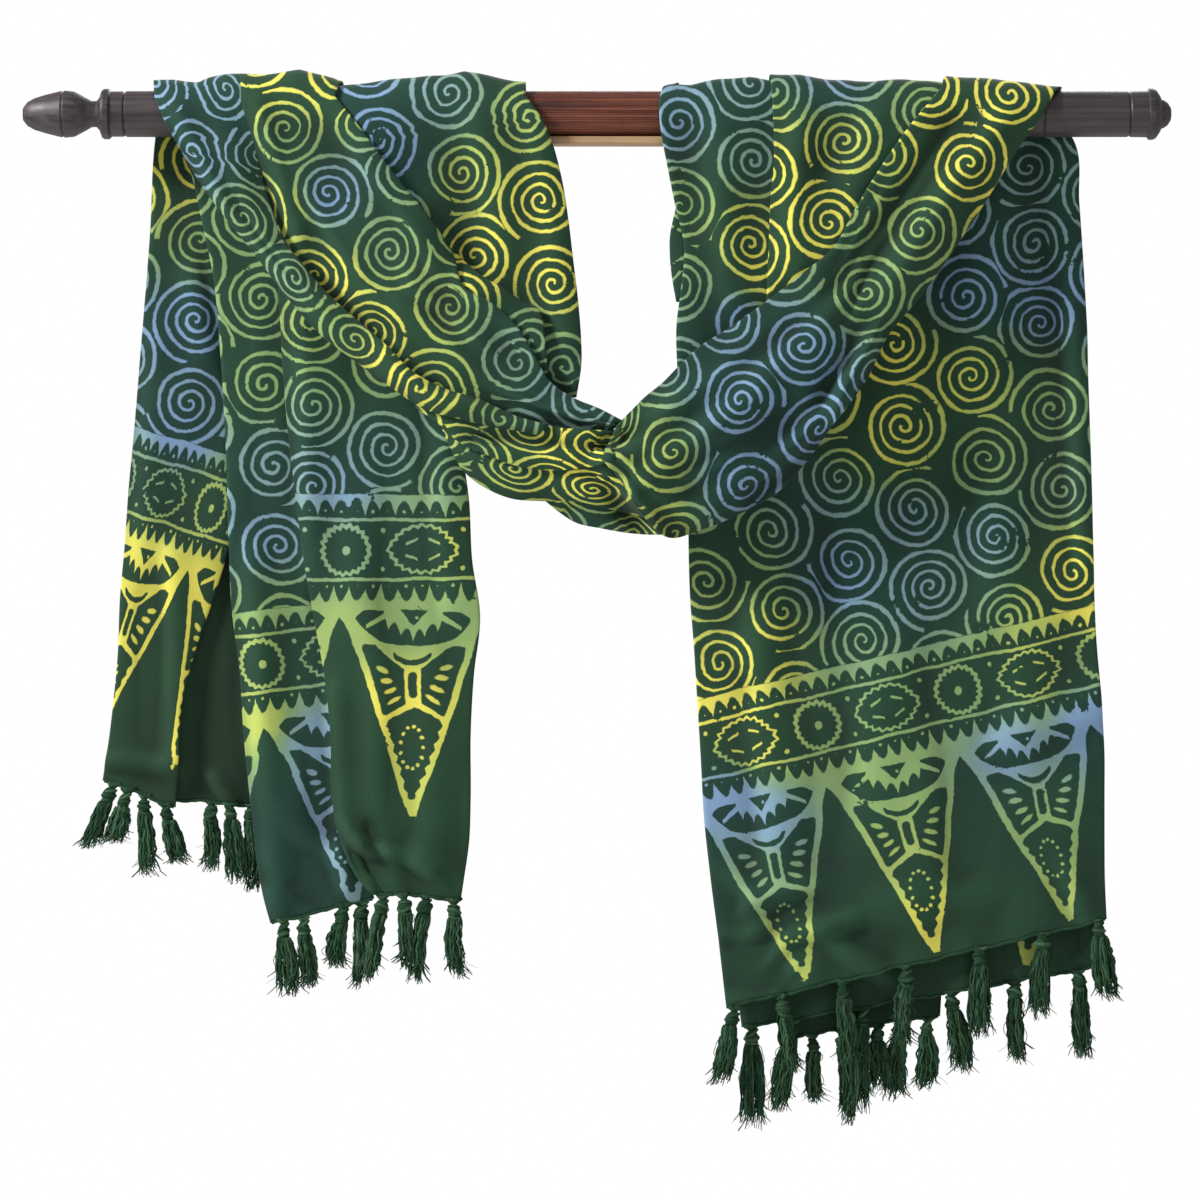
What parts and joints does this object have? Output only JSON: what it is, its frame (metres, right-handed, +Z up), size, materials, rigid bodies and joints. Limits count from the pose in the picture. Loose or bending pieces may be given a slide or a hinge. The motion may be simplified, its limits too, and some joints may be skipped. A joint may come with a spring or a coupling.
{
  "type": "sarong draped over a wooden rod",
  "caption": "Green batik sarong, folded lengthwise and hung over a turned wooden rod, with a swag in front, two tails behind and knotted fringe at the hems.",
  "frame": {"origin": "on the rod's axis, midway along it, where the rod is held", "axes": "+X along the rod to the capped end, +Z up, -Y towards the viewer"},
  "size_m": [0.724, 0.0753, 0.6694],
  "materials": {
    "cloth": "matte printed rayon",
    "fringe": "twisted thread",
    "rod_end": "satin, stained near black",
    "rod_bar": "satin, stained red brown",
    "rod_ledge": "bare, lightly waxed"
  },
  "bodies": {
    "root": {"rod_bar": "rod_bar", "rod_ledge": "rod_ledge", "rod_end_left": "rod_end", "rod_end_right": "rod_end", "swag_left_outer_band": "cloth", "swag_left_main_band": "cloth", "swag_left_inner_drop": "cloth", "swag_left_inner_fold": "cloth", "swag_under_fold": "cloth", "swag_low_roll": "cloth", "swag_lowest_roll": "cloth", "swag_right_band": "cloth", "swag_right_inner_drop": "cloth", "swag_right_outer_drop": "cloth", "swag_right_edge_fold": "cloth", "swag_back_left": "cloth", "swag_back_right": "cloth", "tail_left_outer": "cloth", "tail_left_outer_back": "cloth", "tail_left_middle": "cloth", "tail_left_inner": "cloth", "tail_right_front": "cloth", "tail_right_middle": "cloth", "tail_right_back": "cloth", "fringe_left_outer": "fringe", "fringe_left_outer_back": "fringe", "fringe_left_middle": "fringe", "fringe_left_inner": "fringe", "fringe_right_front": "fringe", "fringe_right_middle": "fringe", "fringe_right_back": "fringe"}
  },
  "joints": []
}
